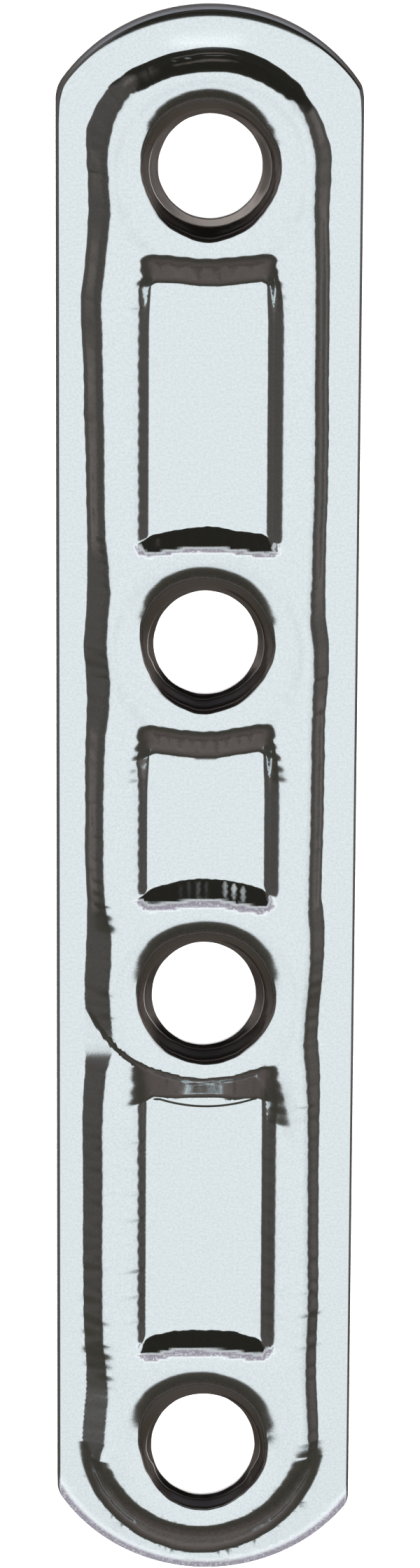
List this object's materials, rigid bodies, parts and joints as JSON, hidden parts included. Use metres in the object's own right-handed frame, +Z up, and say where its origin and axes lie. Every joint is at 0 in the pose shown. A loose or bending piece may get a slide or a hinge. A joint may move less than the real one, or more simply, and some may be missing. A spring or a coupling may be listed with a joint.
{
  "type": "mending plate",
  "caption": "Narrow steel mending plate with rounded ends, raised stiffening rails, recessed pockets and dished screw holes, for joining timber or boards end to end.",
  "frame": {"origin": "on the underside, under the middle of the plate's bounding box", "axes": "+Y along the plate's length towards the end whose hole lies further from the tip, +Z up out of the embossed face, X across the width"},
  "size_m": [0.015, 0.0828, 0.0024],
  "materials": {
    "zinc_steel": "bright zinc plating, satin, faintly mottled"
  },
  "bodies": {
    "root": {"plate": "zinc_steel"}
  },
  "joints": []
}
